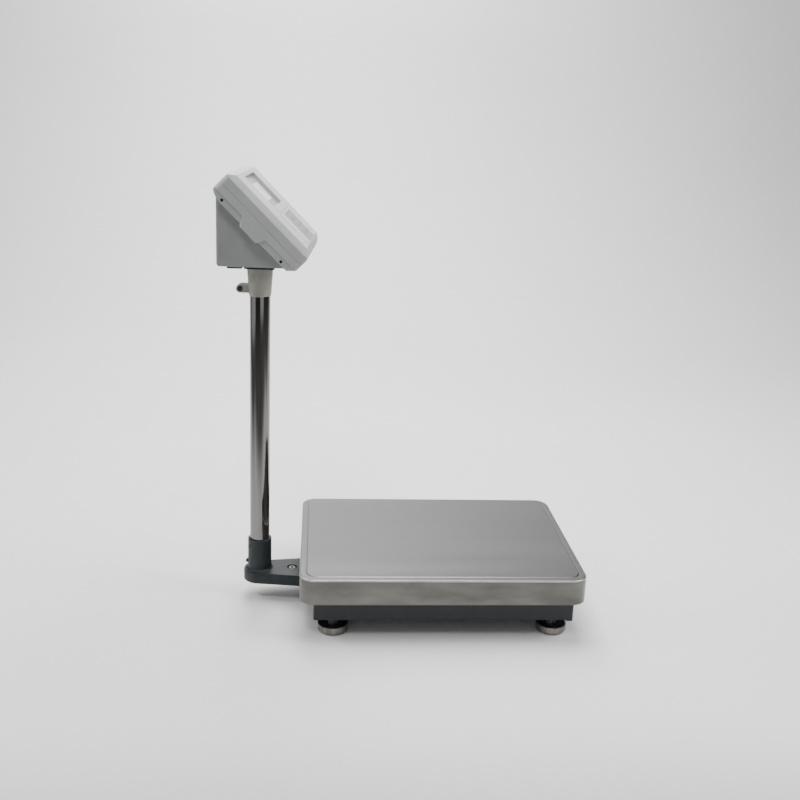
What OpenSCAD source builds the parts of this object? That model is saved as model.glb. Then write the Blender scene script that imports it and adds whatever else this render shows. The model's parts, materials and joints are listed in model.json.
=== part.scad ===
// Bench platform scale: a stainless pan on a load cell frame, with a display head on a rear column.
// +Z is up and the operator stands at -Y. The origin is on the floor, under the middle of the whole scale.

/* [Pan] */
// Width of the pan, across the operator's view
pan_w = 390; // [360:5:420]
// Length of the pan, from the operator towards the column
pan_l = 530; // [500:5:560]
// Height of the pan's top face over the floor
pan_top = 125; // [120:1:130]
// Depth of the pan's skirt, from the top face to its lower edge
pan_depth = 50; // [45:1:54]
// Radius of the pan's four corners
pan_corner_r = 30; // [20:1:36]
// Radius of the bend between the top face and the skirt
pan_edge_r = 3; // [2:0.5:4]
// Thickness of the stainless sheet
pan_sheet = 1.2; // [1:0.1:1.5]
// Width of the plain border round the pressed panel
pan_border = 12.5; // [10:0.5:16]
// Height of the pressed panel over the border
pan_raise = 0.8; // [0.5:0.1:1]

/* [Base frame] */
// Width of the base frame
frame_w = 334; // [320:2:340]
// Length of the base frame
frame_l = 486; // [478:1:488]
// How far the base frame sits ahead of the pan's middle
frame_ahead = 4.5; // [1.5:0.5:5]
// Height of the frame's underside over the floor
frame_bottom = 30; // [28:1:32]
// Height of the frame's rails
rail_h = 36; // [34:1:38]
// Width of the frame's rails
rail_w = 34; // [32:1:36]

/* [Feet] */
// Outer diameter of a foot
foot_d = 57; // [50:1:60]
// Height of a foot's metal cup
foot_h = 15.5; // [14:0.5:16]
// Distance between the feet across the scale
foot_span_x = 290; // [280:2:294]
// Distance between the feet along the scale
foot_span_y = 413; // [405:2:415]
// Diameter of the threaded stud
stud_d = 10; // [8:1:10]

/* [Load cell] */
// Length of the single-point load cell
cell_l = 150; // [140:5:150]
// Width of the load cell
cell_w = 40; // [38:1:42]
// Height of the load cell
cell_h = 36; // [34:1:38]

/* [Column] */
// Outer diameter of the column tube
column_d = 38; // [36:0.5:38.5]
// Distance from the pan's middle to the column's axis
column_back = 346; // [340:1:352]
// Height of the bracket arm's top face
arm_top = 57; // [56:1:58]
// Thickness of the bracket arm
arm_h = 22.5; // [22:0.5:23]
// Outer diameter of the column socket
socket_d = 46; // [45:0.5:50]
// Height of the socket's rim
socket_top = 121; // [116:1:124]

/* [Head] */
// Angle by which the head is turned on its column
head_turn = 4.2; // [0:0.1:6]
// Angle of the display face from the horizontal
face_tilt = 45; // [44:0.5:46]
// Height of the display face where it crosses the column's axis
face_height = 804; // [800:1:810]
// Width of the head case
head_w = 238; // [230:2:244]
// Length of the case up the slope from the column's axis
head_up = 49; // [48:0.5:52]
// Length of the case down the slope from the column's axis
head_down = 149; // [148:0.5:151]
// Depth of the front case, from the face to the parting line
front_depth = 27; // [26:0.5:28]
// Depth of the whole case, from the face to its back
case_depth = 53; // [52:0.5:54]
// Width of the housing under the head
box_w = 184; // [176:2:190]
// Height of that housing's underside
box_bottom = 670; // [669:0.5:672]

/* [Keys] */
// Width of a key
key_w = 23; // [20:0.5:24]
// Height of a key, along the slope
key_h = 12.5; // [11:0.5:13]
// Distance between the keys' middles across the face
key_pitch_x = 27; // [26:0.5:28]
// Distance between the keys' middles along the slope
key_pitch_y = 16.5; // [16:0.5:17]

/* [Hidden] */
$fn = 48;
HULL_FN = 32; // facets of the rounded pieces that a hull joins
WALL = 2.5; // wall of the plastic mouldings
CAST = 4; // wall of the cast base frame
FIT = 0.05; // radial clearance of a pin or shaft in its bore
EPS = 0.5; // overlap between pieces of one solid, and overrun of a cut
FOOT_COUNT = 4;
KEY_COLS = 3;
KEY_ROWS = 4;

// Heights inside the platform, from the floor upwards
frame_top = frame_bottom + rail_h;
spine_top = 46;
spine_sheet = 6;
spacer_h = 6;
cell_bottom = spine_top + spacer_h;
cell_top = cell_bottom + cell_h;
deck_bottom = cell_top + spacer_h;
deck_h = 20;
deck_top = deck_bottom + deck_h;
panel_under = pan_top - pan_sheet;
stop_gap = 0.7;

// Base frame
lip_l = 14;
lip_h = 2;
spine_w = 76;
tongue_w = 70;
tongue_h = 8;
tongue_bottom = 35;
tongue_reach = 53.5;
cable_x = 15;
cable_z = 48.7;
cable_d = 4.8;
cable_hole_r = 3.3;

// Feet
cup_r = 4.5;

// Deck
deck_beam_x = 38;
deck_beam_w = 24;
deck_cross_y = 188;
deck_cross_w = 30;
deck_span = 344;
pad_x = 150;
pad_d = 30;
stop_y = 180;
bolt_y = [41, 61];
m8_r = 4;
m8_head_r = 6.5;
m8_head_h = 8;

// Column and bracket
arm_r = 31;
arm_front_w = 90;
arm_bottom = arm_top - arm_h;
arm_reach = column_back - (frame_l / 2 - frame_ahead);
column_bottom = 42;
column_top = 664;
column_wall = 1.5;
front_bolt = 64; // the bolt in view, ahead of the column
rear_bolt = [29, 91]; // the two bolts under the pan, to each side and ahead of the column
sink_r = 9.75;
sink_depth = 8;
pinch_z = 108.5;
pinch_angle = 51;
lower_pinch_z = 71;
m6_r = 3;

// Collar
collar_bottom = 604;
collar_low_d = 41;
collar_high_d = 50;
spigot_r = 15;
spigot_bore_r = 9;
spigot_h = 18;
ear_h = 15.5;
ear_t = 8.5;
ear_slit = 3;
ear_hole_y = 35.5;
ear_z = 617;
plate_h = 4;
plate_w = 172;
plate_l = 54;
plate_y = -9;
collar_top = box_bottom - plate_h;

// Head housing, with distances measured behind the column's axis
box_back = 65.5;
box_edge_r = 7;
door_back = 62;
door_front = 21;
door_w = 172;
grip_l = 26;
grip_h = 4;
pin_r = 0.9;
door_pin_y = 60.5;
battery_size = [134, 34, 60];
door_notch_r = collar_high_d / 2 + 1.6;
battery_y = 44.3;
inlet_x = 78;
inlet_z = 690;

// Display face, in its own frame: x across, y up the slope, z out of the face
face_w = 222;
face_up = 36;
face_down = 134;
case_r = 10;
window_size = [111, 73];
window_y = -9;
window_depth = 5.5;
lens_t = 1.5;
overlay_x = [-66, 78];
overlay_y = [-132.5, -61];
overlay_t = 0.8;
overlay_proud = 0.3;
key_field_x = 15.5;
key_field_y = -98.5;
key_travel = 0.8;
key_proud = 0.9;
board_z = 14;
board_t = 1.6;
board_size = [206, 150];
board_y = -50;
step_z = 41;
step_in = 4;
screw_ends = [[23.7, 47.5], [-119.3, 48.2]];
screw_r = 1.5;
lug_t = 8;
stake_ends = [14, -114];
stake_x = 96;

// The case's rear edge, as distances up the slope and under the face
rear_edge = [[head_up - 22, case_depth], [head_up - 11, case_depth - 2.5], [head_up - 3, case_depth - 6.5],
    [head_up, case_depth - 11]];
function face_point(e) = [e[0] * cos(face_tilt) + e[1] * sin(face_tilt),
    face_height + e[0] * sin(face_tilt) - e[1] * cos(face_tilt)];

// Where the platform and the column stand, so that the whole scale is centred on the origin
turned_back = face_point(rear_edge[2])[0] * cos(head_turn) + (head_w / 2 - step_in) * sin(head_turn);
rear_reach = column_back + turned_back;
platform_y = (pan_l / 2 - rear_reach) / 2;
column_y = platform_y + column_back;
frame_y = platform_y - frame_ahead;

function foot_side(i) = i <= 2 ? -1 : 1;
function foot_end(i) = i % 2 == 1 ? -1 : 1;
function key_x(i) = key_field_x + ((i - 1) % KEY_COLS - (KEY_COLS - 1) / 2) * key_pitch_x;
function key_y(i) = key_field_y - (floor((i - 1) / KEY_COLS) - (KEY_ROWS - 1) / 2) * key_pitch_y;

// ---------- places ----------

module on_platform() {
    translate([0, platform_y, 0]) children();
}

module on_frame() {
    translate([0, frame_y, 0]) children();
}

module at_column() {
    translate([0, column_y, 0]) children();
}

module in_head() {
    at_column() rotate([0, 0, -head_turn]) children();
}

module on_face() {
    in_head() translate([0, 0, face_height]) rotate([face_tilt, 0, 0]) children();
}

module at_foot(i) {
    on_frame() translate([foot_side(i) * foot_span_x / 2, foot_end(i) * foot_span_y / 2, 0]) children();
}

// ---------- shared shapes ----------

// A rectangle about the origin with rounded corners
module rounded_rect(w, l, r) {
    square([w - 2 * r, l], center = true);
    square([w, l - 2 * r], center = true);
    for (x = [-1, 1], y = [-1, 1]) translate([x * (w / 2 - r), y * (l / 2 - r)]) circle(r = r);
}

module rounded_block(w, l, h, r) {
    linear_extrude(h) rounded_rect(w, l, r);
}

// A block centred in x and y that stands on z
module block(w, l, h) {
    translate([-w / 2, -l / 2, 0]) cube([w, l, h]);
}

// An outline in the y-z plane, drawn w wide about x = 0
module side_slab(w, points) {
    rotate([90, 0, 90]) translate([0, 0, -w / 2]) linear_extrude(w) polygon(points);
}

module hex(flats, h) {
    cylinder(d = flats / cos(30), h = h, $fn = 6);
}

// A socket head cap screw pointing down, with the underside of its head at z = 0
module cap_screw(r, head_r, head_h, shank) {
    difference() {
        cylinder(r = head_r, h = head_h);
        translate([0, 0, head_h / 2]) hex(r * 1.5, head_h);
    }
    translate([0, 0, -shank]) cylinder(r = r - FIT, h = shank + EPS);
}

// A tube swept along a path that never runs along x
function unit(v) = v / norm(v);
function path_dir(p, i) = unit(p[min(i + 1, len(p) - 1)] - p[max(i - 1, 0)]);
function path_side(d) = unit([1, 0, 0] - d * d[0]);
function ring_point(p, i, r, a) =
    let (d = path_dir(p, i), n = path_side(d)) p[i] + r * (n * cos(a) + cross(d, n) * sin(a));

module sweep(path, d, sides = 8) {
    count = len(path);
    points = [for (i = [0:count - 1], k = [0:sides - 1]) ring_point(path, i, d / 2, k * 360 / sides)];
    walls = [for (i = [0:count - 2], k = [0:sides - 1])
        [i * sides + k, (i + 1) * sides + k, (i + 1) * sides + (k + 1) % sides, i * sides + (k + 1) % sides]];
    start_cap = [[for (k = [0:sides - 1]) k]];
    end_cap = [[for (k = [sides - 1:-1:0]) (count - 1) * sides + k]];
    polyhedron(points, concat(walls, start_cap, end_cap));
}

// ---------- pan and deck ----------

module platform_pan() {
    color("gainsboro") on_platform() difference() {
        union() {
            hull() for (x = [-1, 1], y = [-1, 1])
                translate([x * (pan_w / 2 - pan_corner_r), y * (pan_l / 2 - pan_corner_r),
                    pan_top - pan_depth]) pan_corner(pan_depth - pan_raise);
            translate([0, 0, pan_top - pan_raise - EPS])
                rounded_block(pan_w - 2 * pan_border, pan_l - 2 * pan_border, pan_raise + EPS,
                    pan_corner_r - pan_border + 4);
        }
        translate([0, 0, pan_top - pan_depth - EPS])
            rounded_block(pan_w - 2 * pan_sheet, pan_l - 2 * pan_sheet,
                pan_depth - pan_raise - pan_sheet + EPS, pan_corner_r - pan_sheet);
        translate([0, 0, pan_top - pan_depth])
            rounded_block(pan_w - 2 * pan_border - 2, pan_l - 2 * pan_border - 2,
                pan_depth - pan_sheet, pan_corner_r - pan_border + 3);
    }
}

// One corner post of the pan, with the bend at its upper edge
module pan_corner(h) {
    cylinder(r = pan_corner_r, h = h - pan_edge_r, $fn = 2 * HULL_FN);
    translate([0, 0, h - pan_edge_r]) rotate_extrude($fn = 2 * HULL_FN) {
        square([pan_corner_r - pan_edge_r, pan_edge_r]);
        intersection() {
            translate([pan_corner_r - pan_edge_r, 0]) circle(r = pan_edge_r, $fn = HULL_FN);
            square([pan_corner_r, pan_edge_r]);
        }
    }
}

module pan_pads() {
    color("#202224") on_platform() for (x = [-1, 1], y = [-1, 1])
        translate([x * pad_x, y * deck_cross_y, deck_top]) cylinder(d = pad_d, h = panel_under - deck_top);
}

module deck_frame() {
    color("#4a4f53") on_platform() {
        for (y = [-1, 1]) translate([0, y * deck_cross_y, deck_bottom]) difference() {
            block(deck_span, deck_cross_w, deck_h);
            translate([0, 0, -EPS]) block(deck_span - 90, deck_cross_w - 6, deck_h - 3 + EPS);
        }
        for (x = [-1, 1]) translate([x * deck_beam_x, 0, deck_bottom]) difference() {
            block(deck_beam_w, 2 * deck_cross_y - deck_cross_w + 2 * EPS, deck_h);
            translate([0, 0, -EPS]) block(deck_beam_w - 6, 2 * deck_cross_y - 80, deck_h - 3 + EPS);
        }
        difference() {
            translate([0, -(cell_l / 2 - 24), deck_bottom]) block(2 * deck_beam_x, 68, 6);
            for (y = bolt_y) translate([0, -y, deck_bottom - EPS]) cylinder(r = m8_r, h = 7);
        }
    }
}

// ---------- load cell ----------

module spacer(y_sign, z) {
    on_platform() difference() {
        translate([0, y_sign * (cell_l / 2 - 24), z]) rounded_block(cell_w, 48, spacer_h, 3);
        for (y = bolt_y) translate([0, y_sign * y, z - EPS]) cylinder(r = m8_r, h = spacer_h + 2 * EPS);
    }
}

module upper_spacer() {
    color("silver") spacer(-1, cell_top);
}

module lower_spacer() {
    color("silver") spacer(1, spine_top);
}

module upper_cell_bolts() {
    color("#2b2b2b") on_platform() for (y = bolt_y)
        translate([0, -y, deck_bottom + 6]) cap_screw(m8_r, m8_head_r, m8_head_h, 28);
}

module lower_cell_bolts() {
    color("#2b2b2b") on_platform() for (y = bolt_y)
        translate([0, y, spine_top - spine_sheet]) mirror([0, 0, 1])
            cap_screw(m8_r, m8_head_r, m8_head_h, 28);
}

// A double bending beam: two round holes joined by a slot thin its top and bottom to four hinges
module load_cell() {
    color("#c9ccd0") on_platform() difference() {
        translate([0, 0, cell_bottom]) block(cell_w, cell_l, cell_h);
        for (y = [-1, 1]) translate([-cell_w / 2 - EPS, y * 17, cell_bottom + cell_h / 2])
            rotate([0, 90, 0]) cylinder(r = 14, h = cell_w + 2 * EPS);
        translate([0, 0, cell_bottom + cell_h / 2 - 7]) block(cell_w + 2 * EPS, 34, 14);
        for (y = bolt_y) {
            translate([0, -y, cell_top - 24]) cylinder(r = m8_r, h = 24 + EPS);
            translate([0, y, cell_bottom - EPS]) cylinder(r = m8_r, h = 24 + EPS);
        }
    }
}

// ---------- base frame ----------

module base_frame() {
    bay_l = frame_l - 2 * rail_w;
    bay_w = (frame_w - spine_w) / 2 - rail_w;
    color("#3f4346") difference() {
        union() {
            on_frame() difference() {
                union() {
                    translate([0, 0, frame_bottom]) rounded_block(frame_w, frame_l, rail_h, 4);
                    translate([0, (lip_l - frame_l) / 2, frame_bottom - lip_h])
                        rounded_block(frame_w, lip_l, lip_h + EPS, 4);
                }
                // Two open bays beside the spine
                for (x = [-1, 1]) translate([x * (spine_w + bay_w) / 2, 0, frame_bottom - EPS])
                    block(bay_w, bay_l, rail_h + 2 * EPS);
                // The rails are channels that open downwards
                translate([0, 0, frame_bottom - lip_h - EPS]) difference() {
                    block(frame_w - 2 * CAST, frame_l - 2 * CAST, rail_h - CAST + lip_h + EPS);
                    translate([0, 0, -EPS])
                        block(frame_w - 2 * rail_w + 2 * CAST, bay_l + 2 * CAST, rail_h + 2 * EPS);
                }
                // The spine is lower than the rails and open below
                translate([0, 0, spine_top]) block(spine_w + EPS, bay_l, rail_h);
                translate([0, 0, frame_bottom - EPS])
                    block(spine_w - 2 * CAST, bay_l - 2 * CAST, spine_top - spine_sheet - frame_bottom + EPS);
            }
            for (i = [1:FOOT_COUNT]) at_foot(i) translate([0, 0, frame_bottom]) block(30, 30, rail_h - 1);
            at_column() translate([0, -arm_reach - rail_w / 2, tongue_bottom])
                block(tongue_w, rail_w - 2 * CAST + 2 * EPS, tongue_h);
            at_column() translate([0, -arm_reach - EPS + tongue_reach / 2, tongue_bottom])
                block(tongue_w, tongue_reach + 2 * EPS, tongue_h);
        }
        for (i = [1:FOOT_COUNT]) at_foot(i) translate([0, 0, frame_bottom - EPS])
            cylinder(r = stud_d / 2, h = rail_h - 2);
        on_platform() {
            for (y = bolt_y) translate([0, y, spine_top - spine_sheet - EPS])
                cylinder(r = m8_r, h = spine_sheet + 2 * EPS);
            for (x = [-1, 1], y = [-1, 1]) translate([x * pad_x, y * stop_y, frame_top - CAST - EPS])
                cylinder(r = m6_r, h = CAST + 2 * EPS);
        }
        at_column() {
            bracket_bolt_places() translate([0, 0, tongue_bottom - EPS])
                cylinder(r = m8_r, h = tongue_h + 2 * EPS);
            translate([cable_x, -arm_reach - rail_w - EPS, cable_z]) rotate([-90, 0, 0])
                cylinder(r = cable_hole_r, h = rail_w + 2 * EPS);
        }
    }
}

module bracket_bolt_places() {
    translate([0, -front_bolt, 0]) children();
    for (x = [-1, 1]) translate([x * rear_bolt[0], -rear_bolt[1], 0]) children();
}

// Screws under the deck's corners, which stop it before the load cell is overloaded
module stop_screws() {
    color("#8d8f90") on_platform() for (x = [-1, 1], y = [-1, 1])
        translate([x * pad_x, y * stop_y, frame_top - CAST]) {
            cylinder(r = m6_r - FIT, h = deck_bottom - stop_gap - frame_top + CAST);
            translate([0, 0, CAST]) hex(10, 5);
        }
}

module level_body() {
    color("#26292b") on_frame() translate([0, -frame_l / 2 + rail_w / 2, frame_top]) difference() {
        cylinder(r = 11, h = 8);
        translate([0, 0, 2]) cylinder(r = 8.5, h = 8);
    }
}

module level_vial() {
    color("#b7d98a") on_frame() translate([0, -frame_l / 2 + rail_w / 2, frame_top + 2])
        cylinder(r = 8.5, h = 7);
}

// ---------- feet ----------

module foot_cup(i) {
    color("#9a9890") at_foot(i) rotate_extrude() difference() {
        union() {
            translate([0, 1 + cup_r]) square([foot_d / 2, foot_h - 1 - cup_r]);
            translate([0, 1]) square([foot_d / 2 - cup_r, cup_r + 1]);
            translate([foot_d / 2 - cup_r, 1 + cup_r]) circle(r = cup_r);
        }
        translate([0, 0]) square([5.2, foot_h + 1]);
        translate([0, 4]) square([foot_d / 2 - 2.5, foot_h]);
        translate([0, -1]) square([foot_d / 2 - 6, 3.5]);
    }
}

module foot_rubber(i) {
    color("#17181a") at_foot(i) rotate_extrude() difference() {
        union() {
            translate([0, 4]) square([foot_d / 2 - 2.5, foot_h - 5.5]);
            square([foot_d / 2 - 6, 2.5]);
            square([5.2, 5]);
        }
        translate([0, 2]) square([stud_d / 2, foot_h]);
    }
}

module foot_stud(i) {
    color("#8a8c8e") at_foot(i) {
        translate([0, 0, 2]) cylinder(r = stud_d / 2 - FIT, h = 57);
        translate([0, 0, foot_h - 1.5]) hex(17, 6);
    }
}

module lock_nuts() {
    color("#8a8c8e") for (i = [1:FOOT_COUNT]) at_foot(i) translate([0, 0, frame_bottom - 5]) difference() {
        hex(17, 5);
        translate([0, 0, -EPS]) cylinder(r = stud_d / 2, h = 5 + 2 * EPS);
    }
}

// ---------- bracket and column ----------

module arm_outline(inset) {
    circle(r = arm_r - inset, $fn = 2 * HULL_FN);
    polygon([[-arm_r + inset, 0], [-arm_front_w / 2 + inset, -arm_reach],
             [arm_front_w / 2 - inset, -arm_reach], [arm_r - inset, 0]]);
}

module column_bracket() {
    web = tongue_bottom + tongue_h;
    color("#43474a") at_column() difference() {
        union() {
            hull() {
                translate([0, 0, arm_bottom]) linear_extrude(1) arm_outline(1);
                translate([0, 0, arm_bottom + 1]) linear_extrude(arm_h - 4) arm_outline(0);
                translate([0, 0, arm_top - 1]) linear_extrude(0.2) arm_outline(0.9);
                translate([0, 0, arm_top - 0.1]) linear_extrude(0.1) arm_outline(2.6);
            }
            translate([0, 0, arm_top - EPS]) cylinder(r1 = socket_d / 2 + 4, r2 = socket_d / 2, h = 4);
            translate([0, 0, arm_top]) cylinder(d = socket_d, h = socket_top - arm_top - 1);
            translate([0, 0, socket_top - 1]) cylinder(r1 = socket_d / 2, r2 = socket_d / 2 - 1, h = 1);
        }
        translate([0, 0, column_bottom]) cylinder(r = column_d / 2 + FIT, h = socket_top);
        // The frame's tongue lies in a pocket under the arm
        translate([0, -arm_reach + tongue_reach / 2 - EPS, arm_bottom - EPS])
            block(tongue_w + 0.6, tongue_reach + 1 + EPS, web - arm_bottom + EPS);
        translate([cable_x, -arm_reach - EPS, cable_z]) rotate([-90, 0, 0])
            cylinder(r = cable_hole_r, h = arm_reach);
        bracket_bolt_places() {
            translate([0, 0, web - EPS]) cylinder(r = m8_r, h = arm_h);
            translate([0, 0, arm_top - sink_depth]) cylinder(r = sink_r, h = sink_depth + EPS);
        }
        socket_screw_places() cylinder(r = m6_r, h = socket_d);
    }
}

// The three screws that hold the tube in its socket: axes run outwards along +z of each place
module socket_screw_places() {
    for (a = [pinch_angle, 180 - pinch_angle]) translate([0, 0, pinch_z]) rotate([0, 90, a]) children();
    translate([0, 0, lower_pinch_z]) rotate([0, 90, 90]) children();
}

module bracket_bolts() {
    color("#9b9c98") at_column() bracket_bolt_places() translate([0, 0, arm_top - sink_depth])
        cap_screw(m8_r, m8_head_r, m8_head_h - 1, arm_top - sink_depth - tongue_bottom);
}

module socket_screws() {
    inner = column_d / 2 + FIT;
    color("#2b2d2f") at_column() {
        for (a = [pinch_angle, 180 - pinch_angle]) translate([0, 0, pinch_z]) rotate([0, 90, a])
            translate([0, 0, inner]) difference() {
                cylinder(r = m6_r - FIT, h = socket_d / 2 - inner - 0.5);
                translate([0, 0, 1]) hex(3, socket_d);
            }
        translate([0, 0, lower_pinch_z]) rotate([0, 90, 90]) translate([0, 0, inner]) {
            cylinder(r = m6_r - FIT, h = socket_d / 2 - inner + EPS);
            translate([0, 0, socket_d / 2 - inner]) cylinder(r1 = 4.5, r2 = 3, h = 4);
        }
    }
}

module column_tube() {
    color("#b9bcbe") at_column() difference() {
        translate([0, 0, column_bottom]) cylinder(d = column_d, h = column_top - column_bottom);
        translate([0, 0, column_bottom - EPS])
            cylinder(r = column_d / 2 - column_wall, h = column_top - column_bottom + 2 * EPS);
        translate([cable_x, -column_d / 2, cable_z]) rotate([-90, 0, 0]) cylinder(r = 4.5, h = 15);
    }
}

// From the load cell's fixed end along the spine and the arm, then up inside the column
signal_route = [
    [8, -271, 64], [8, -266, 64], [8.5, -258, 62.5], [10, -248, 58], [12.5, -238, 52.5], [14.5, -228, 49.2],
    [cable_x, -218, cable_z], [cable_x, -200, cable_z], [cable_x, -160, cable_z], [cable_x, -120, cable_z],
    [cable_x, -80, cable_z], [cable_x, -40, cable_z], [cable_x, -18, cable_z], [13.8, -12, 49.2],
    [12.2, -8, 50.8], [10.8, -5.8, 54.2], [9.6, -4.2, 60], [8, -3, 70], [5.5, -2, 88], [3, -1, 110],
    [1, 0, 145], [0, 0, 190], [0, 0, 300], [0, 0, 400], [0, 0, 500], [0, 0, 600], [0, 0, column_top]];

module signal_cable() {
    color("#2a2a2c") at_column() sweep(signal_route, cable_d);
}

// ---------- collar and head plate ----------

module clamp_collar() {
    color("#b4b2ab") in_head() difference() {
        union() {
            translate([0, 0, collar_bottom])
                cylinder(d1 = collar_low_d, d2 = collar_high_d, h = collar_top - collar_bottom);
            translate([0, 0, collar_top - EPS]) cylinder(r = spigot_r, h = spigot_h + EPS);
            for (x = [-1, 1]) translate([x * (ear_slit + ear_t) / 2, 0, ear_z]) rotate([0, 90, 0])
                collar_ear();
        }
        translate([0, 0, collar_bottom - EPS])
            cylinder(r = column_d / 2 + 0.08, h = column_top + 0.2 - collar_bottom + EPS);
        translate([0, 0, collar_bottom]) cylinder(r = spigot_bore_r, h = 90);
        translate([-ear_slit / 2, 10, collar_bottom - EPS]) cube([ear_slit, 40, 36]);
        translate([-40, ear_hole_y, ear_z]) rotate([0, 90, 0]) cylinder(r = m6_r, h = 80);
        translate([-(ear_slit / 2 + ear_t + EPS), ear_hole_y, ear_z]) rotate([0, 90, 0])
            cylinder(r = 5.3, h = 5 + EPS);
    }
}

// One ear of the collar's clamp, lying across z with its axis up
module collar_ear() {
    translate([0, 0, -ear_t / 2]) {
        translate([-ear_h / 2, 17, 0]) cube([ear_h, ear_hole_y - 17, ear_t]);
        translate([0, ear_hole_y, 0]) cylinder(d = ear_h, h = ear_t);
    }
}

module collar_screw() {
    under_head = -(ear_slit / 2 + ear_t - 5);
    color("#2b2d2f") in_head() translate([under_head, ear_hole_y, ear_z]) rotate([0, -90, 0])
        cap_screw(m6_r, 5, 4.6, ear_slit + 2 * ear_t + 1);
}

module collar_nut() {
    color("#8d8f90") in_head() translate([ear_slit / 2 + ear_t, ear_hole_y, ear_z]) rotate([0, 90, 0])
        difference() {
            hex(10, 5);
            translate([0, 0, -EPS]) cylinder(r = m6_r, h = 5 + 2 * EPS);
        }
}

module ring_nut() {
    color("#8d8f90") in_head() translate([0, 0, box_bottom + WALL]) difference() {
        hex(36, 7);
        translate([0, 0, -EPS]) cylinder(r = spigot_r + FIT, h = 7 + 2 * EPS);
    }
}

module head_plate() {
    color("#3a3d3f") in_head() difference() {
        translate([0, plate_y, collar_top]) rounded_block(plate_w, plate_l, plate_h, 4);
        translate([0, 0, collar_top - EPS]) cylinder(r = spigot_r + FIT, h = plate_h + 2 * EPS);
    }
}

// ---------- housing under the head ----------

// Where the plane of the case's back is at a height
function case_back_y(z) = (z - face_height + case_depth / cos(face_tilt)) / tan(face_tilt);

// The block under the case's back, or its hollow when inset by a wall: the hollow is open towards the case
module housing_solid(inset) {
    low = box_bottom + inset;
    back = box_back - inset;
    r = max(box_edge_r - inset, 1);
    lift = inset > 0 ? 20 : 0;
    low_edge = face_point(rear_edge[0]);
    high_edge = face_point(rear_edge[1]);
    arc = [for (a = [0:15:90]) [back - r + r * cos(a), low + r - r * sin(a)]];
    side_slab(box_w - 2 * inset,
        concat([[case_back_y(low) - lift, low], [low_edge[0] - lift, low_edge[1]],
                [high_edge[0] - inset, high_edge[1] + lift], [back, high_edge[1] + lift]], arc));
}

module head_housing() {
    color("#8f9290") in_head() difference() {
        intersection() {
            housing_solid(0);
            translate([0, 0, box_bottom - EPS]) linear_extrude(200)
                translate([0, box_back - 100]) rounded_rect(box_w, 200, 5);
        }
        housing_solid(WALL);
        translate([0, 0, box_bottom - EPS]) cylinder(r = spigot_r + FIT, h = WALL + 2 * EPS);
        difference() {
            translate([-door_w / 2 - 0.4, door_front, box_bottom - EPS])
                cube([door_w + 0.8, door_back - door_front, WALL + 2 * EPS]);
            translate([0, 0, box_bottom - 1]) cylinder(r = door_notch_r - 0.4, h = WALL + 2);
        }
        translate([-door_w / 2 - 2.5, door_pin_y, box_bottom + WALL / 2]) rotate([0, 90, 0])
            cylinder(r = pin_r + FIT, h = door_w + 5);
        translate([inlet_x, box_back - WALL - EPS, inlet_z]) rotate([-90, 0, 0])
            cylinder(r = 5.5, h = WALL + 2 * EPS);
    }
}

module battery_door() {
    depth = door_pin_y - door_front - 0.4;
    color("#3d4042") in_head() {
        difference() {
            union() {
                translate([-door_w / 2, door_front + 0.4, box_bottom]) cube([door_w, depth, WALL]);
                translate([-door_w / 2, door_front + 0.4, box_bottom - grip_h])
                    cube([door_w, grip_l, grip_h + EPS]);
            }
            // The door clears the collar's rim
            translate([0, 0, box_bottom - grip_h - 1]) cylinder(r = door_notch_r, h = grip_h + WALL + 2);
        }
        translate([-door_w / 2, door_pin_y, box_bottom + WALL / 2]) rotate([0, 90, 0])
            cylinder(d = WALL, h = door_w);
        translate([-door_w / 2 - 2, door_pin_y, box_bottom + WALL / 2]) rotate([0, 90, 0])
            cylinder(r = pin_r, h = door_w + 4);
    }
}

module battery() {
    color("#33363a") in_head() {
        translate([0, battery_y, box_bottom + WALL + 1.5])
            rounded_block(battery_size[0], battery_size[1], battery_size[2], 2);
        for (x = [-1, 1]) translate([x * 55, battery_y + 8, box_bottom + WALL + 1.5 + battery_size[2] - EPS])
            block(6.3, 0.8, 6);
    }
}

module power_inlet() {
    color("#161718") in_head() translate([inlet_x, box_back, inlet_z]) rotate([-90, 0, 0]) {
        difference() {
            union() {
                cylinder(r = 7.5, h = 1.6);
                translate([0, 0, -13]) cylinder(r = 5.4, h = 13 + EPS);
            }
            translate([0, 0, -9]) cylinder(r = 3.2, h = 12);
        }
        translate([0, 0, -9.5]) cylinder(r = 1, h = 8);
    }
}

// From the column's top up through the spigot to the board
head_route = [
    [0, 0, column_top], [0, 0, 672], [0, 0, 682], [0, -1, 691], [0, -3.5, 700], [0, -8, 709],
    [0, -14, 718], [0, -21, 726], [0, -28.3, 733.3], [0, -33.9, 738.9]];

module head_lead() {
    color("#2a2a2c") in_head() sweep(head_route, cable_d);
}

// ---------- case ----------

// The case's rounded outline, filling from one depth under the face up to another
module case_plan(low, high, inset) {
    translate([0, (head_up - head_down) / 2, -low])
        rounded_block(head_w - 2 * inset, head_up + head_down - 2 * inset, low - high, case_r);
}

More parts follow.
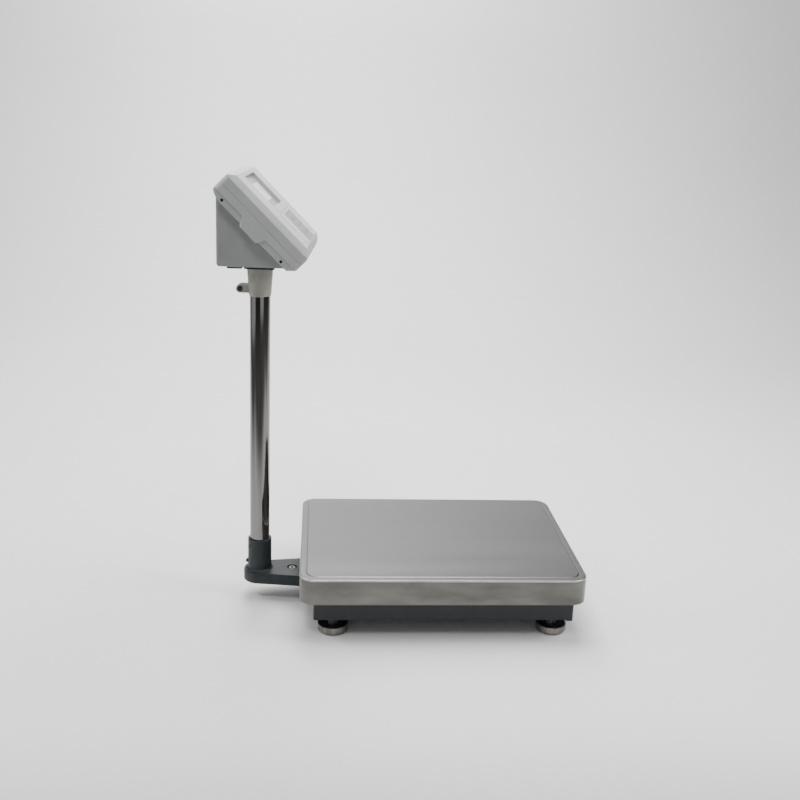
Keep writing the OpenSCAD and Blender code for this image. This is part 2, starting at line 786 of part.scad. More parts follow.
// The front case's outside, or its hollow when inset by a wall: the face, bounded by chamfers
module front_form(inset) {
    over = inset > 0 ? EPS : 0;
    half = inset / 2;
    intersection() {
        case_plan(front_depth + over, inset, inset);
        side_slab(head_w, [
            [head_up + 1, -front_depth - 1],
            [head_up + 1, -10 - half],
            [head_up - inset, -10 - half],
            [face_up - half, -inset],
            [-face_down + half, -inset],
            [-face_down - 8 + inset, -6.5 - half],
            [-head_down + inset, -15 - half],
            [-head_down - 1, -15 - half],
            [-head_down - 1, -front_depth - 1]]);
        translate([0, head_up + 1, 0]) rotate([90, 0, 0]) linear_extrude(head_up + head_down + 2)
            polygon([
                [-head_w / 2 - 1, -front_depth - 1],
                [-head_w / 2 - 1, -11 - half],
                [-head_w / 2 + inset, -11 - half],
                [-face_w / 2 + half, -inset],
                [face_w / 2 - half, -inset],
                [head_w / 2 - inset, -11 - half],
                [head_w / 2 + 1, -11 - half],
                [head_w / 2 + 1, -front_depth - 1]]);
    }
}

module front_case() {
    color("#c3c6c2") on_face() difference() {
        union() {
            difference() {
                front_form(0);
                front_form(WALL);
            }
            translate([0, window_y, -window_depth - 3])
                block(window_size[0] + 4, window_size[1] + 4, window_depth + 2);
            for (x = [-1, 1], e = screw_ends)
                translate([x * (head_w / 2 - step_in - WALL - lug_t / 2 - 0.3), e[0],
                    -case_depth + WALL + 0.3]) block(lug_t, lug_t, case_depth - WALL - 3);
            for (x = [-1, 1], y = stake_ends) translate([x * stake_x, y, 0]) {
                translate([0, 0, -board_z + board_t]) cylinder(r = 4, h = board_z - board_t - 1);
                translate([0, 0, -board_z - 0.8]) cylinder(r = screw_r, h = 5);
            }
        }
        translate([0, window_y, -window_depth - lens_t]) block(window_size[0], window_size[1], 20);
        translate([0, window_y, -window_depth - 4]) block(window_size[0] - 4, window_size[1] - 4, 20);
        translate([(overlay_x[0] + overlay_x[1]) / 2, (overlay_y[0] + overlay_y[1]) / 2, -overlay_t])
            block(overlay_x[1] - overlay_x[0], overlay_y[1] - overlay_y[0], 5);
        for (i = [1:KEY_COLS * KEY_ROWS]) translate([key_x(i), key_y(i), -10])
            block(key_w + 0.8, key_h + 0.8, 20);
        for (x = [-1, 1], e = screw_ends) translate([x * head_w / 2, e[0], -e[1]]) rotate([0, 90, 0])
            cylinder(r = screw_r, h = 36, center = true);
    }
}

// Outline of the rear case seen from the side, as y up the slope and z out of the face
function rear_profile(inset) = [
    [head_up - inset, -front_depth + inset],
    [rear_edge[3][0] - inset, -rear_edge[3][1]],
    [rear_edge[2][0] - inset, -rear_edge[2][1] + inset / 2],
    [rear_edge[1][0] - inset / 2, -rear_edge[1][1] + inset],
    [rear_edge[0][0], -rear_edge[0][1] + inset],
    [-head_down + 12 + inset, -case_depth + inset],
    [-head_down + inset, -step_z + 1],
    [-head_down + inset, -front_depth + inset]];

module rear_case() {
    side = head_w / 2;
    color("#aeb1ad") on_face() difference() {
        intersection() {
            side_slab(head_w, rear_profile(0));
            case_plan(60, 0, 0);
        }
        difference() {
            intersection() {
                side_slab(head_w - 2 * WALL, rear_profile(WALL));
                case_plan(60, 0, WALL);
            }
            for (x = [-1, 1]) translate([x * (side - step_in / 2 - WALL), -50, -case_depth])
                block(step_in + EPS, 210, case_depth - step_z + WALL);
        }
        translate([0, (head_up - head_down) / 2, -front_depth - WALL - EPS])
            rounded_block(head_w - 2 * WALL, head_up + head_down - 2 * WALL, 20, case_r);
        // The sides step in towards the back, apart from a boss in the middle of each
        for (x = [-1, 1]) difference() {
            translate([x * (side - step_in / 2 + 5), -50, -case_depth - 1])
                block(step_in + 10, 240, case_depth - step_z + 1);
            side_slab(head_w + 30, [
                [-20.8, -step_z + 1], [-29.4, -case_depth - 2],
                [-68.3, -case_depth - 2], [-75, -step_z + 1]]);
        }
        // Opening for the leads and the battery, into the housing below
        translate([0, -50, -case_depth - EPS]) block(120, 70, 2 * WALL);
        for (x = [-1, 1], e = screw_ends)
            translate([x * (side - step_in), e[0], -e[1]]) rotate([0, x * 90, 0]) {
                translate([0, 0, -1.5]) cylinder(r = 2.75, h = 10);
                translate([0, 0, -WALL - EPS]) cylinder(r = screw_r + 0.1, h = 10);
            }
    }
}

module case_screws() {
    color("#17181a") on_face() for (x = [-1, 1], e = screw_ends)
        translate([x * (head_w / 2 - step_in - 1.5), e[0], -e[1]]) rotate([0, x * 90, 0]) {
            difference() {
                cylinder(r = 2.65, h = 1.2);
                translate([0, 0, 0.4]) block(2.6, 0.6, 2);
                translate([0, 0, 0.4]) block(0.6, 2.6, 2);
            }
            translate([0, 0, -8]) cylinder(r = screw_r - FIT, h = 8 + EPS);
        }
}

module display_window() {
    color("#c8ccd0") on_face() translate([0, window_y, -window_depth - lens_t])
        block(window_size[0] - 0.4, window_size[1] - 0.4, lens_t);
}

module lcd_module() {
    glass_top = window_depth + lens_t + 0.3;
    color("#d9ddda") on_face() {
        translate([0, window_y, -glass_top - 3]) block(104, 46, 3);
        translate([0, window_y, -board_z + board_t]) block(108, 54, board_z - board_t - glass_top - 3 + EPS);
    }
}

module main_board() {
    color("#1f5a3a") on_face() {
        difference() {
            translate([0, board_y, -board_z]) block(board_size[0], board_size[1], board_t);
            for (x = [-1, 1], y = stake_ends) translate([x * stake_x, y, -board_z - EPS])
                cylinder(r = screw_r + 0.1, h = board_t + 2 * EPS);
        }
        translate([0, -70, -board_z - 8]) block(16, 10, 8);
        translate([-60, -20, -board_z - 3]) block(20, 14, 3.2);
        for (i = [1:KEY_COLS * KEY_ROWS]) translate([key_x(i), key_y(i), -board_z + board_t - EPS])
            cylinder(r = 2.5, h = 1.5 + EPS);
    }
}

module keypad_panel() {
    color("#b9bcb9") on_face() difference() {
        translate([(overlay_x[0] + overlay_x[1]) / 2, (overlay_y[0] + overlay_y[1]) / 2, -overlay_t])
            block(overlay_x[1] - overlay_x[0] - 0.4, overlay_y[1] - overlay_y[0] - 0.4,
                overlay_t + overlay_proud);
        for (i = [1:KEY_COLS * KEY_ROWS]) translate([key_x(i), key_y(i), -5])
            block(key_w + 0.8, key_h + 0.8, 10);
    }
}

// A key cap with a skirt behind the face and a stem that meets its switch
module key(i) {
    color("#9a9d9b") on_face() translate([key_x(i), key_y(i), 0]) {
        translate([0, 0, -4]) rounded_block(key_w, key_h, 4 + key_proud, 1.5, $fn = 24);
        translate([0, 0, -5]) block(key_w + 2.4, key_h + 2, 1.6);
        translate([0, 0, -board_z + board_t + 1.5 + key_travel + 0.2])
            cylinder(r = 2, h = board_z - board_t - 1.5 - key_travel - 0.2 - 4);
    }
}

platform_pan();
pan_pads();
deck_frame();
upper_spacer();
upper_cell_bolts();
load_cell();
lower_spacer();
lower_cell_bolts();
base_frame();
stop_screws();
level_body();
level_vial();
lock_nuts();
column_bracket();
bracket_bolts();
socket_screws();
column_tube();
signal_cable();
head_lead();
clamp_collar();
collar_screw();
collar_nut();
ring_nut();
head_plate();
head_housing();
battery_door();
battery();
rear_case();
front_case();
case_screws();
display_window();
lcd_module();
main_board();
keypad_panel();
power_inlet();
for (i = [1:FOOT_COUNT]) {
    foot_cup(i);
    foot_rubber(i);
    foot_stud(i);
}
for (i = [1:KEY_COLS * KEY_ROWS]) {
    key(i);
}
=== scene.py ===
import json
import math

import bmesh
import bpy
from mathutils import Matrix, Vector


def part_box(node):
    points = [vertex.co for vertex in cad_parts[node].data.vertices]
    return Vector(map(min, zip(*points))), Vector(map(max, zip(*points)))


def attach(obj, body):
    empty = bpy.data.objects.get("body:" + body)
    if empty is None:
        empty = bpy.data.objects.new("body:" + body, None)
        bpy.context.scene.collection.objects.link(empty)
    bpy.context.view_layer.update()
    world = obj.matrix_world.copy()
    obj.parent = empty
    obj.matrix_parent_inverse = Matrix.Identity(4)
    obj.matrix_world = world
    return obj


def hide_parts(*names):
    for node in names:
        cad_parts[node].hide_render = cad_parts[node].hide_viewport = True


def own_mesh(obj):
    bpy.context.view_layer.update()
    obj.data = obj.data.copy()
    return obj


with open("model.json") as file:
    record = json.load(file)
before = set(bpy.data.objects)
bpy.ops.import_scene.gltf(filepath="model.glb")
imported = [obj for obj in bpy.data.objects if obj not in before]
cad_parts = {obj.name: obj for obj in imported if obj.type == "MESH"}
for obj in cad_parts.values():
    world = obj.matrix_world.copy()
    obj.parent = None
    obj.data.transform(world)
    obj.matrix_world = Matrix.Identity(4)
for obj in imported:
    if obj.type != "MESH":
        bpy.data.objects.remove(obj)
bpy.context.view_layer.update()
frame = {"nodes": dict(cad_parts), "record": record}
NODES = frame["nodes"]
RECORD = frame["record"]
BODY_OF = {node: body for body, nodes in RECORD["behaviour"]["bodies"].items() for node in nodes}
SLOT_OF = {part["node"]: part["material_slot"] for part in RECORD["subparts"]}
KEYS = [f"key_{i}" for i in range(1, 13)]
FEET = (1, 2, 3, 4)
MM = 0.001

# How the display face stands. Its own frame is in millimetres: x across, y up the slope, z out of the face
HEAD_TURN = math.radians(4.2)
FACE_TILT = math.radians(45)
FACE_HEIGHT = 804

# What the frame doesn't say about the face, in millimetres: the part of the display that shows inside the
# window's printed border, and the holes in the keypad's film
DISPLAY_SIZE = (98, 40)
KEY_HOLE = (23.8, 13.3)


def middle(node):
    lo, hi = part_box(node)
    return (lo + hi) / 2


HEAD = Matrix.Translation((0, middle("column_tube").y, 0)) @ Matrix.Rotation(-HEAD_TURN, 4, "Z")
FACE = (HEAD @ Matrix.Translation((0, 0, FACE_HEIGHT * MM)) @ Matrix.Rotation(FACE_TILT, 4, "X")
        @ Matrix.Scale(MM, 4))


def face_box(node):
    """The node's lowest and highest corners in the face's own frame, to a hundredth of a millimetre."""
    to_face = FACE.inverted()
    points = [to_face @ vertex.co for vertex in NODES[node].data.vertices]
    return [[round(pick(p[i] for p in points), 2) for i in range(3)] for pick in (min, max)]


# ---------- materials ----------

def surface(name, dark, light, rough, metal=0.0, size=0.03, stretch=(1, 1, 1), grain=0.0004, lift=0.15,
            spread=0.08, specular=0.5, alpha=1.0, transmission=0.0):
    """Tone and roughness wander over `size` metres; a bump `grain` metres fine lies over them."""
    mat = bpy.data.materials.new(name)
    mat.use_nodes = True
    nodes, links = mat.node_tree.nodes, mat.node_tree.links
    shader = nodes["Principled BSDF"]
    shader.inputs["Metallic"].default_value = metal
    shader.inputs["Specular IOR Level"].default_value = specular
    shader.inputs["Alpha"].default_value = alpha
    shader.inputs["Transmission Weight"].default_value = transmission
    place = nodes.new("ShaderNodeTexCoord")
    scaled = nodes.new("ShaderNodeMapping")
    scaled.inputs["Scale"].default_value = stretch
    links.new(place.outputs["Object"], scaled.inputs["Vector"])
    broad = nodes.new("ShaderNodeTexNoise")
    broad.inputs["Scale"].default_value = 1 / size
    broad.inputs["Detail"].default_value = 5
    links.new(scaled.outputs["Vector"], broad.inputs["Vector"])
    tones = nodes.new("ShaderNodeValToRGB")
    tones.color_ramp.elements[0].position = 0.3
    tones.color_ramp.elements[1].position = 0.7
    tones.color_ramp.elements[0].color = (*dark, 1)
    tones.color_ramp.elements[1].color = (*light, 1)
    links.new(broad.outputs["Fac"], tones.inputs["Fac"])
    links.new(tones.outputs["Color"], shader.inputs["Base Color"])
    matt = nodes.new("ShaderNodeMapRange")
    matt.inputs["To Min"].default_value = max(rough - spread, 0.02)
    matt.inputs["To Max"].default_value = min(rough + spread, 1)
    links.new(broad.outputs["Fac"], matt.inputs["Value"])
    links.new(matt.outputs["Result"], shader.inputs["Roughness"])
    fine = nodes.new("ShaderNodeTexNoise")
    fine.inputs["Scale"].default_value = 1 / grain
    fine.inputs["Detail"].default_value = 2
    links.new(scaled.outputs["Vector"], fine.inputs["Vector"])
    bump = nodes.new("ShaderNodeBump")
    bump.inputs["Strength"].default_value = lift
    bump.inputs["Distance"].default_value = 0.0003
    links.new(fine.outputs["Fac"], bump.inputs["Height"])
    links.new(bump.outputs["Normal"], shader.inputs["Normal"])
    return mat


def grey(tone, warm=0.0):
    return (tone * (1 + warm), tone, tone * (1 - warm))


MAT = {
    "pan": surface("brushed_stainless", grey(0.125, 0.005), grey(0.148, 0.01), 0.36, metal=1.0, size=0.04,
                   stretch=(1, 0.06, 1), grain=0.0009, lift=0.2),
    # Painted reflection: the skirt's darker, warmer mottled tone is what its sheet mirrors; its brushing
    # along the skirt is real
    "skirt": surface("brushed_skirt_painted_reflection", (0.085, 0.083, 0.077), (0.15, 0.147, 0.136), 0.3, metal=1.0, size=0.05,
                     stretch=(1, 0.5, 1.5), grain=0.0009, lift=0.2),
    # Painted highlight: the bend's band is several times brighter than the pan, for the light caught along
    # the rolled edge
    "bend": surface("bend_painted_highlight", grey(0.5, 0.01), grey(0.7, 0.01), 0.4, metal=1.0, size=0.03, grain=0.0009),
    "rubber": surface("black_rubber", grey(0.010), grey(0.018), 0.6, size=0.01, lift=0.3),
    "frame": surface("charcoal_coat", (0.014, 0.018, 0.020), (0.020, 0.025, 0.027), 0.5, size=0.02,
                     specular=0.35, grain=0.0009, lift=0.2),
    "bracket": surface("bracket_paint", (0.012, 0.016, 0.018), (0.018, 0.023, 0.026), 0.5, size=0.02,
                       specular=0.3, grain=0.001, lift=0.2),
    "zinc": surface("zinc_plate", grey(0.35), grey(0.5), 0.35, metal=1.0, size=0.004, lift=0.1),
    "aluminium": surface("anodised_aluminium", grey(0.55), grey(0.65), 0.35, metal=1.0, size=0.01,
                         stretch=(1, 0.1, 1)),
    "black_steel": surface("black_oxide", grey(0.014), grey(0.025), 0.4, metal=0.6, size=0.004, lift=0.1),
    "dark_zinc": surface("dark_zinc", grey(0.1), grey(0.16), 0.3, metal=1.0, size=0.003, lift=0.1),
    "black_plastic": surface("black_plastic", grey(0.02), grey(0.03), 0.5, size=0.008),
    "liquid": surface("level_liquid", (0.35, 0.6, 0.05), (0.5, 0.75, 0.1), 0.1, size=0.01, lift=0.0,
                      transmission=0.6),
    "chrome": surface("polished_tube", grey(0.15, 0.03), grey(0.2, 0.03), 0.1, metal=1.0, size=0.008,
                      stretch=(1, 1, 0.02), spread=0.05, grain=0.006, lift=0.8),
    "cable": surface("cable_jacket", grey(0.02), grey(0.03), 0.5, size=0.01),
    "collar": surface("collar_paint", (0.30, 0.295, 0.265), (0.36, 0.355, 0.32), 0.5, size=0.015,
                      grain=0.001),
    # Painted shade: the housing is the case's plastic made darker, for the shade it lies in under the case
    "housing": surface("housing_plastic", (0.27, 0.285, 0.28), (0.30, 0.315, 0.31), 0.55, size=0.04,
                       grain=0.0005, lift=0.3),
    "case": surface("case_plastic", (0.40, 0.415, 0.405), (0.44, 0.455, 0.445), 0.55, size=0.04,
                    grain=0.0005, lift=0.3),
    "door": surface("door_plastic", (0.045, 0.048, 0.048), (0.06, 0.063, 0.062), 0.6, size=0.01,
                    grain=0.0005, lift=0.3),
    "window": surface("window_acrylic", grey(0.75), grey(0.8), 0.08, size=0.05, lift=0.0, spread=0.02,
                      alpha=0.18),
    "mask": surface("window_print", (0.2, 0.21, 0.21), (0.23, 0.24, 0.24), 0.5, size=0.02, lift=0.02),
    "lcd": surface("display_cell", (0.74, 0.78, 0.75), (0.80, 0.84, 0.81), 0.3, size=0.02, lift=0.02),
    "board": surface("solder_mask", (0.01, 0.08, 0.04), (0.02, 0.12, 0.06), 0.4, size=0.004),
    "film": surface("keypad_film", (0.42, 0.435, 0.425), (0.45, 0.465, 0.455), 0.4, size=0.02),
    "field": surface("key_field", (0.17, 0.18, 0.18), (0.20, 0.21, 0.21), 0.4, size=0.02),
    "key": surface("key_caps", (0.25, 0.262, 0.26), (0.28, 0.292, 0.29), 0.45, size=0.01),
    "foot": surface("foot_metal", (0.17, 0.163, 0.148), (0.33, 0.315, 0.288), 0.35, metal=0.9, size=0.006,
                    stretch=(1, 1, 0.4), lift=0.2),
    "battery": surface("battery_case", grey(0.03), grey(0.045), 0.5, size=0.02),
}
WEAR = {
    "rubber": ["pan_pads"] + [f"foot_rubber_{i}" for i in FEET],
    "frame": ["base_frame", "deck_frame"],
    "bracket": ["column_bracket"],
    "zinc": ["stop_screws", "lock_nuts", "collar_nut", "ring_nut"] + [f"foot_stud_{i}" for i in FEET],
    "aluminium": ["load_cell", "upper_spacer", "lower_spacer"],
    "black_steel": ["upper_cell_bolts", "lower_cell_bolts", "socket_screws", "case_screws", "head_plate"],
    "dark_zinc": ["bracket_bolts", "collar_screw"],
    "black_plastic": ["level_body", "power_inlet"],
    "liquid": ["level_vial"],
    "chrome": ["column_tube"],
    "cable": ["signal_cable", "head_lead"],
    "collar": ["clamp_collar"],
    "housing": ["head_housing"],
    "door": ["battery_door"],
    "case": ["front_case", "rear_case"],
    "window": ["display_window"],
    "lcd": ["lcd_module"],
    "board": ["main_board"],
    "key": KEYS,
    "foot": [f"foot_cup_{i}" for i in FEET],
    "battery": ["battery"],
}
FINISH_OF = {node: MAT[key] for key, nodes in WEAR.items() for node in nodes}

# The nodes whose edges are rounded, and by how much, in millimetres
ROUNDED = {
    "front_case": 0.9, "rear_case": 0.9, "head_housing": 0.9, "battery_door": 0.5, "head_plate": 0.5,
    "clamp_collar": 0.5, "base_frame": 0.9, "deck_frame": 0.8, "column_bracket": 0.5, "load_cell": 0.5,
    "display_window": 0.2, "lcd_module": 0.3, **{key: 0.5 for key in KEYS},
}


def dress(node):
    """Give a CAD node that stays its finish."""
    mesh = NODES[node].data
    mesh.materials.clear()
    mesh.materials.append(FINISH_OF[node])


# ---------- making pieces ----------

SHARP_ANGLE = math.radians(35)
BEVEL_ANGLE = math.radians(28)
FLAT_ANGLE = math.radians(0.3)
SHORTEST_EDGE = 1.0 * MM
WELD_DISTANCE = 0.002 * MM
MOST_GROWTH = 0.05 * MM
VOLUME_KEPT = (0.97, 1.001)
CORNER_STEPS = 10


def piece(name, bm, body, slot, mats, replaced=()):
    """Turn a bmesh into a smooth-shaded piece that rides on a body."""
    bmesh.ops.recalc_face_normals(bm, faces=bm.faces)
    for edge in bm.edges:
        edge.smooth = len(edge.link_faces) == 2 and edge.calc_face_angle(0) < SHARP_ANGLE
    for face in bm.faces:
        face.smooth = True
    mesh = bpy.data.meshes.new(name)
    bm.to_mesh(mesh)
    bm.free()
    # Normals carried over from a CAD node no longer fit its new faces
    if "custom_normal" in mesh.attributes:
        mesh.attributes.remove(mesh.attributes["custom_normal"])
    for mat in mats:
        mesh.materials.append(mat)
    obj = bpy.data.objects.new(name, mesh)
    bpy.context.scene.collection.objects.link(obj)
    normals = obj.modifiers.new("normals", "WEIGHTED_NORMAL")
    normals.keep_sharp = True
    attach(obj, body)
    if replaced:
        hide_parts(*replaced)


def corners(bm):
    lo = Vector([min(v.co[i] for v in bm.verts) for i in range(3)])
    hi = Vector([max(v.co[i] for v in bm.verts) for i in range(3)])
    return lo, hi


def rounded(node, width, flat=True):
    """The node's own shape with its long edges rounded to `width` mm, or less where that doesn't fit.

    `flat` first joins the triangles of each flat face, which tears a face with many openings in it.
    """
    for share in (1.0, 0.7, 0.45, 0.25):
        bm = bmesh.new()
        bm.from_mesh(NODES[node].data)
        bmesh.ops.remove_doubles(bm, verts=bm.verts[:], dist=WELD_DISTANCE)
        if flat:
            bmesh.ops.dissolve_limit(bm, angle_limit=FLAT_ANGLE, verts=bm.verts[:], edges=bm.edges[:])
        volume, (lo, hi) = bm.calc_volume(), corners(bm)
        edges = [e for e in bm.edges if len(e.link_faces) == 2 and e.calc_length() > SHORTEST_EDGE
                 and e.calc_face_angle(0) > BEVEL_ANGLE]
        bmesh.ops.bevel(bm, geom=edges, offset=width * share * MM, segments=2, profile=0.5,
                        affect="EDGES", clamp_overlap=False)
        new_lo, new_hi = corners(bm)
        grown = max(max(lo - new_lo), max(new_hi - hi))
        if grown < MOST_GROWTH and VOLUME_KEPT[0] < bm.calc_volume() / volume < VOLUME_KEPT[1]:
            piece(f"{node}_shell", bm, BODY_OF[node], SLOT_OF[node], [FINISH_OF[node]], [node])
            return
        bm.free()
    dress(node)


def loops(bm, rings, start_cap=True):
    """Join each ring of points to the next by faces, close the last ring and, with start_cap, the first."""
    made = [[bm.verts.new(p) for p in ring] for ring in rings]
    count = len(made[0])
    for a, b in zip(made, made[1:]):
        for k in range(count):
            bm.faces.new((a[k], a[(k + 1) % count], b[(k + 1) % count], b[k]))
    if start_cap:
        bm.faces.new(made[0][::-1])
    bm.faces.new(made[-1])
    return made


def rounded_ring(w, l, r, z):
    """A rectangle with rounded corners as points at height z."""
    ring = []
    for cx, cy, start in ((w / 2 - r, l / 2 - r, 0), (r - w / 2, l / 2 - r, 90),
                          (r - w / 2, r - l / 2, 180), (w / 2 - r, r - l / 2, 270)):
        for k in range(CORNER_STEPS + 1):
            a = math.radians(start + 90 * k / CORNER_STEPS)
            ring.append(Vector((cx + r * math.cos(a), cy + r * math.sin(a), z)))
    return ring


def plate(xs, ys, low, high, solid, tint):
    """A flat plate of grid cells: solid(i, j) says which cells are there, and tint(i, j) their material."""
    bm = bmesh.new()
    top = {(i, j): bm.verts.new((x, y, high)) for i, x in enumerate(xs) for j, y in enumerate(ys)}
    under = {(i, j): bm.verts.new((x, y, low)) for i, x in enumerate(xs) for j, y in enumerate(ys)}
    cells = {(i, j) for i in range(len(xs) - 1) for j in range(len(ys) - 1) if solid(i, j)}
    for i, j in cells:
        around = [(i, j), (i + 1, j), (i + 1, j + 1), (i, j + 1)]
        bm.faces.new([top[c] for c in around]).material_index = tint(i, j)
        bm.faces.new([under[c] for c in reversed(around)]).material_index = tint(i, j)
        for side, (di, dj) in enumerate(((0, -1), (1, 0), (0, 1), (-1, 0))):
            if (i + di, j + dj) not in cells:
                a, b = around[side], around[(side + 1) % 4]
                bm.faces.new((top[b], top[a], under[a], under[b])).material_index = tint(i, j)
    bmesh.ops.delete(bm, geom=[v for v in bm.verts if not v.link_faces], context="VERTS")
    return bm


# ---------- pan ----------

def pan():
    """The pressed sheet: a hem, the skirt, the bend, the plain border, a shallow groove and the panel."""
    lo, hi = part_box("platform_pan")
    w, l = (hi.x - lo.x) / MM, (hi.y - lo.y) / MM
    top, low = hi.z / MM, lo.z / MM
    corner, bend, sheet, border, raised = 30, 3, 1.2, 12.5, 0.8
    edge = top - raised
    # The painted highlight on the bend reaches up to here
    painted_highlight_top = edge - 0.4

    # The sheet's section as (distance in from the skirt's outside, height)
    hem = [(sheet, low + 0.5), (0.95, low + 0.15), (0.6, low), (0.25, low + 0.15), (0, low + 0.5)]
    skirt = [(0, low + 1), (0, edge - bend - 0.6)]
    turn = [(bend - bend * math.cos(a), edge - bend + bend * math.sin(a))
            for a in [math.radians(11.25 * k) for k in range(9)]]
    rim = [(bend + 0.6, edge), (border - 2.2, edge)]
    groove = [(border - 1.4, edge - 0.12), (border - 0.7, edge - 0.35), (border, edge - 0.3),
              (border + 0.8, edge + 0.3), (border + 1.6, edge + 0.68)]
    panel = [(border + 2.6, top), (border + 4, top)]
    under = [(border + 1, top - sheet), (border, edge - sheet), (bend + 0.6, edge - sheet),
             (sheet + 0.5, edge - sheet - 0.5), (sheet, edge - bend), (sheet, low + 1)]

    def ring(inset, z, r):
        return rounded_ring(w - 2 * inset, l - 2 * inset, r, z)

    # The groove and the panel have wider corners than the rim
    outside = [ring(inset, z, corner - inset) for inset, z in hem + skirt + turn + rim]
    outside += [ring(inset, z, corner + 4 - inset) for inset, z in groove + panel]
    inside = [ring(inset, z, corner - min(inset, 12)) for inset, z in under]
    bm = bmesh.new()
    made = loops(bm, inside + outside, start_cap=False)
    # The skirt has its own brushed finish, with painted reflection in its darker, warmer tone, and the bend
    # above it is painted bright, a painted highlight along the edge
    for face in bm.faces:
        height = face.calc_center_median().z
        if height < edge - bend:
            face.material_index = 1
        elif height < painted_highlight_top:
            face.material_index = 2
    # The underside of the panel
    bm.faces.new(made[0][::-1])
    centre = middle("platform_pan")
    bm.transform(Matrix.Translation((centre.x, centre.y, 0)) @ Matrix.Scale(MM, 4))
    piece("pan_sheet", bm, "pan", "stainless_pan", [MAT["pan"], MAT["skirt"], MAT["bend"]],
          ["platform_pan"])


# ---------- head ----------

def keypad_film():
    """The film over the keys: a pale sheet with a darker printed field round the keys."""
    lo, hi = face_box("keypad_panel")
    key_boxes = [face_box(key) for key in KEYS]

    def grid_lines(axis):
        """Across the film: its edge, the field's edge, both sides of each hole, and the two far edges."""
        centres = sorted({round((low[axis] + high[axis]) / 2, 2) for low, high in key_boxes})
        margin = (centres[1] - centres[0]) / 2
        holes = [centre + side * KEY_HOLE[axis] / 2 for centre in centres for side in (-1, 1)]
        return [lo[axis], centres[0] - margin, *holes, centres[-1] + margin, hi[axis]]

    xs, ys = grid_lines(0), grid_lines(1)

    def solid(i, j):
        return not (i in range(2, len(xs) - 3, 2) and j in range(2, len(ys) - 3, 2))

    def tint(i, j):
        return 1 if 0 < i < len(xs) - 2 and 0 < j < len(ys) - 2 else 0

    bm = plate(xs, ys, lo[2], hi[2], solid, tint)
    bm.transform(FACE)
    piece("keypad_film", bm, "head", "keypad_film", [MAT["film"], MAT["field"]], ["keypad_panel"])


def window_print():
    """The grey border printed behind the window, round the display."""
    lo, hi = face_box("display_window")
    margin, gap, thick = 2, 0.04, 0.18
    centre_y = (lo[1] + hi[1]) / 2
    half_w, half_h = DISPLAY_SIZE[0] / 2, DISPLAY_SIZE[1] / 2
    xs = [lo[0] + margin, -half_w, half_w, hi[0] - margin]
    ys = [lo[1] + margin, centre_y - half_h, centre_y + half_h, hi[1] - margin]
    bm = plate(xs, ys, lo[2] - gap - thick, lo[2] - gap, lambda i, j: (i, j) != (1, 1), lambda i, j: 0)
    bm.transform(FACE)
    piece("window_print", bm, "head", "display_cell", [MAT["mask"]])


def side_bosses():
    """The boss on each side of the rear case. It laps over the housing and slopes at its upper end."""
    lo, hi = face_box("rear_case")
    outside, inside = hi[0] + 0.05, hi[0] - 4
    root, lap, slope = -40, lo[2] - 3.5, 3.2
    outer = [(-20.8, root), (-30.3, lap), (-67.6, lap), (-75, root)]
    inner = [(y + slope, z) for y, z in outer[:2]] + outer[2:]
    bm = bmesh.new()
    for hand in (-1, 1):
        loops(bm, [[(hand * outside, y, z) for y, z in outer], [(hand * inside, y, z) for y, z in inner]])
    bmesh.ops.recalc_face_normals(bm, faces=bm.faces)
    bmesh.ops.bevel(bm, geom=bm.edges[:], offset=0.5, segments=2, profile=0.5, affect="EDGES")
    bm.transform(FACE)
    piece("side_bosses", bm, "head", SLOT_OF["rear_case"], [MAT["case"]])


# ---------- studio ----------

# Painted shade on the paper, for unlit floor: its tone far from the scale, and where it fades from that to
# the paper's full tone, in metres in front of the scale and beside it. Behind the scale the sides' fade moves
# out by SIDE_SPREAD for each metre
FAR_PAINTED_SHADE = 0.18
FRONT_FADE = (-1.1, -0.4)
SIDE_FADE = (-1.7, -0.75)
SIDE_SPREAD = 0.9


def floor_paper_painted_shade():
    """Pale paper with painted shade: it turns dark grey in front of the scale and beside it."""
    mat = surface("pale_floor_painted_shade", grey(0.84, 0.01), grey(0.88, 0.01), 0.9, size=0.8, grain=0.01, lift=0.0)
    nodes, links = mat.node_tree.nodes, mat.node_tree.links

    def maths(operation, *values):
        node = nodes.new("ShaderNodeMath")
        node.operation = operation
        for socket, value in zip(node.inputs, values):
            if isinstance(value, (int, float)):
                socket.default_value = value
            else:
                links.new(value, socket)
        return node.outputs["Value"]

    def fade(value, dark, full):
        node = nodes.new("ShaderNodeMapRange")
        node.interpolation_type = "SMOOTHSTEP"
        node.inputs["From Min"].default_value = dark
        node.inputs["From Max"].default_value = full
        node.inputs["To Min"].default_value = FAR_PAINTED_SHADE
        links.new(value, node.inputs["Value"])
        return node.outputs["Result"]

    place = nodes.new("ShaderNodeTexCoord")
    split = nodes.new("ShaderNodeSeparateXYZ")
    links.new(place.outputs["Object"], split.inputs["Vector"])
    behind = maths("MAXIMUM", split.outputs["X"], 0.0)
    sideways = maths("MULTIPLY", maths("ABSOLUTE", split.outputs["Y"]), -1.0)
    beside = maths("MULTIPLY_ADD", behind, SIDE_SPREAD, sideways)
    lit = maths("MINIMUM", fade(split.outputs["X"], *FRONT_FADE), fade(beside, *SIDE_FADE))
    shade = nodes.new("ShaderNodeMix")
    shade.data_type = "RGBA"
    shade.blend_type = "MULTIPLY"
    shade.inputs["Factor"].default_value = 1
    paper = nodes["Principled BSDF"].inputs["Base Color"].links[0].from_socket
    links.new(paper, shade.inputs["A"])
    links.new(lit, shade.inputs["B"])
    links.new(shade.outputs["Result"], nodes["Principled BSDF"].inputs["Base Color"])
    return mat


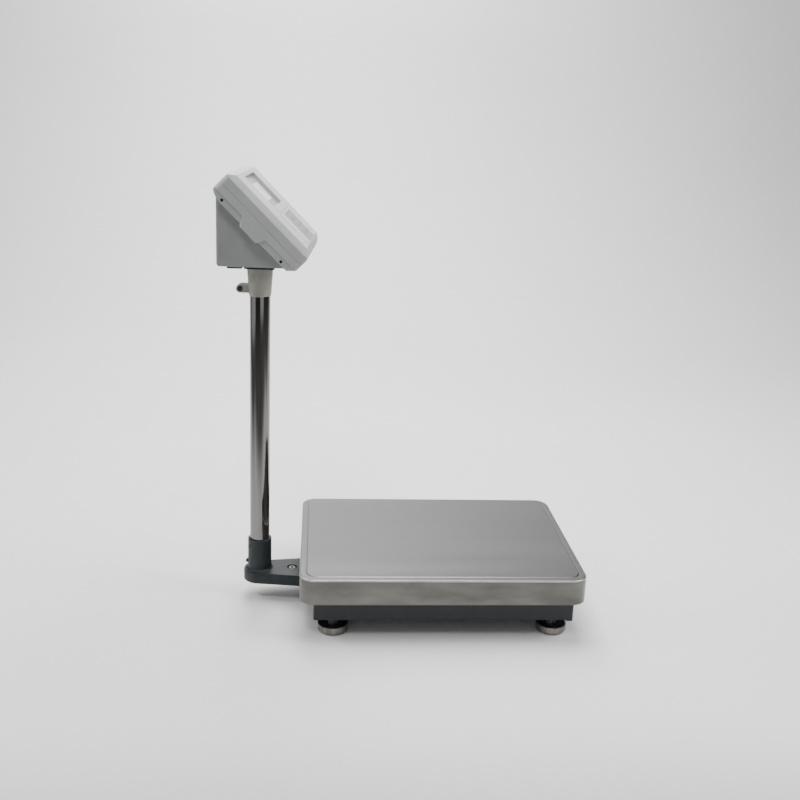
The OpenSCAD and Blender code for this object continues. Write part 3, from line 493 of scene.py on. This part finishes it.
def backdrop():
    """A pale floor that curves up behind the scale."""
    reach, flat_end, radius, wall_top = 9.0, 1.6, 1.2, 4.0
    rows = [(-reach, 0.0), (flat_end, 0.0)]
    rows += [(flat_end + radius * math.sin(a), radius - radius * math.cos(a))
             for a in [math.radians(t) for t in range(9, 91, 9)]]
    rows.append((flat_end + radius, wall_top))
    bm = bmesh.new()
    lines = [[bm.verts.new((x, y, z)) for y in (-reach, reach)] for x, z in rows]
    for a, b in zip(lines, lines[1:]):
        bm.faces.new((a[0], b[0], b[1], a[1]))
    mesh = bpy.data.meshes.new("floor")
    bm.to_mesh(mesh)
    bm.free()
    for face in mesh.polygons:
        face.use_smooth = True
    floor = bpy.data.objects.new("floor", mesh)
    bpy.context.scene.collection.objects.link(floor)
    mesh.materials.append(floor_paper_painted_shade())


def softbox(name, place, aim, size, power):
    """A rectangular light: where it stands and points, its width and height in metres, and its watts."""
    light = bpy.data.lights.new(name, "AREA")
    light.shape = "RECTANGLE"
    light.energy = power
    light.size, light.size_y = size
    obj = bpy.data.objects.new(name, light)
    obj.location = place
    obj.rotation_euler = (Vector(aim) - Vector(place)).to_track_quat("-Z", "Y").to_euler()
    bpy.context.scene.collection.objects.link(obj)


def studio():
    """Soft light from all round. The panels and the camera's light are what the tube and the skirt mirror."""
    backdrop()
    softbox("top_light", (0.35, -0.05, 2.3), (0.1, 0, 0), (1.3, 1.3), 55)
    softbox("key_light", (-0.45, -1.7, 2.0), (0, 0.1, 0.4), (0.8, 0.8), 32)
    softbox("edge_light", (0.15, 1.8, 1.8), (0, 0.2, 0.7), (0.5, 0.5), 16)
    softbox("left_panel", (-0.4, 2.4, 0.35), (0, 0.3, 0.3), (2.6, 0.7), 4.8)
    softbox("low_panel", (-2.4, -0.75, 0.3), (0, 0.3, 0.3), (1.7, 0.6), 3.2)
    softbox("camera_light", (-2.2, 0.9, 1.3), (0, 0, 0.4), (0.5, 1.2), 3)
    softbox("side_light", (-1.3, 0.6, 2.5), (0, 0.15, 0.7), (0.4, 0.4), 17)
    softbox("back_light", (1.9, 0.3, 2.4), (2.2, 0, 0.6), (1.6, 1.6), 75)
    world = bpy.data.worlds.new("studio")
    world.use_nodes = True
    world.node_tree.nodes["Background"].inputs["Color"].default_value = (0.9, 0.92, 0.95, 1)
    world.node_tree.nodes["Background"].inputs["Strength"].default_value = 0.2
    bpy.context.scene.world = world


def camera():
    """The photograph's view, as fitted to the edges of the pan, frame, feet and column."""
    turn, pitch, roll = math.radians(-4.106), math.radians(15.0), math.radians(1.984)
    place = (-1.86966, middle("platform_pan").y + 0.24091, 0.96179)
    forward = Vector((math.cos(turn) * math.cos(pitch), math.sin(turn) * math.cos(pitch), -math.sin(pitch)))
    right = Vector((math.sin(turn), -math.cos(turn), 0))
    up = right.cross(forward)
    right, up = (right * math.cos(roll) + up * math.sin(roll), up * math.cos(roll) - right * math.sin(roll))
    data = bpy.data.cameras.new("camera")
    data.sensor_width = 36
    data.lens = 45.955
    data.shift_x = 0.0166
    data.shift_y = -0.0341
    cam = bpy.data.objects.new("camera", data)
    cam.matrix_world = Matrix.Translation(place) @ Matrix((right, up, -forward)).transposed().to_4x4()
    bpy.context.scene.collection.objects.link(cam)
    bpy.context.scene.camera = cam


camera()
studio()
pan()
keypad_film()
window_print()
side_bosses()
for node in FINISH_OF:
    if node in ROUNDED:
        rounded(node, ROUNDED[node], flat=node != "front_case")
    else:
        dress(node)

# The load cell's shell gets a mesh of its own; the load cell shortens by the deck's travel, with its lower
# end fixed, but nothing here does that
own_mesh(bpy.data.objects["load_cell_shell"])
